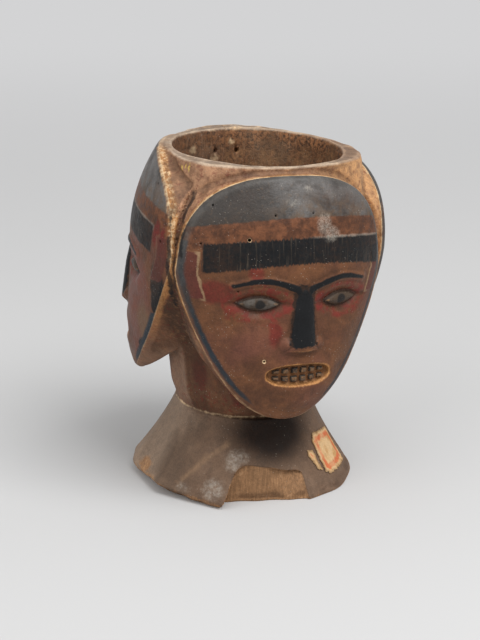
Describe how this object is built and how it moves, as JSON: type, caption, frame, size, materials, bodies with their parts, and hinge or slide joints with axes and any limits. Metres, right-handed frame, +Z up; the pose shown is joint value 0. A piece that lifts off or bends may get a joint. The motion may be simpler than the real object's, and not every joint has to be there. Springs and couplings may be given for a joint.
{
  "type": "footed wooden cup",
  "caption": "Wooden cup carved from one block: a round bowl ringed by painted masks on a flared foot, with the remains of a paper label.",
  "frame": {"origin": "middle of the foot's flat underside", "axes": "+Z up, the first mask faces -Y, the cup's own axis leans three degrees to the first mask's left as seen from the front (towards +X)"},
  "size_m": [0.1026, 0.1056, 0.1387],
  "materials": {
    "carved_wood": "aged carved wood with worn blue-black, black and red-brown paint, semi-matt",
    "label_paper": "aged cream paper with printed red border lines, matt"
  },
  "bodies": {
    "root": {"carved_cup": "carved_wood", "paper_label": "label_paper", "label_fragment": "label_paper"}
  },
  "joints": []
}
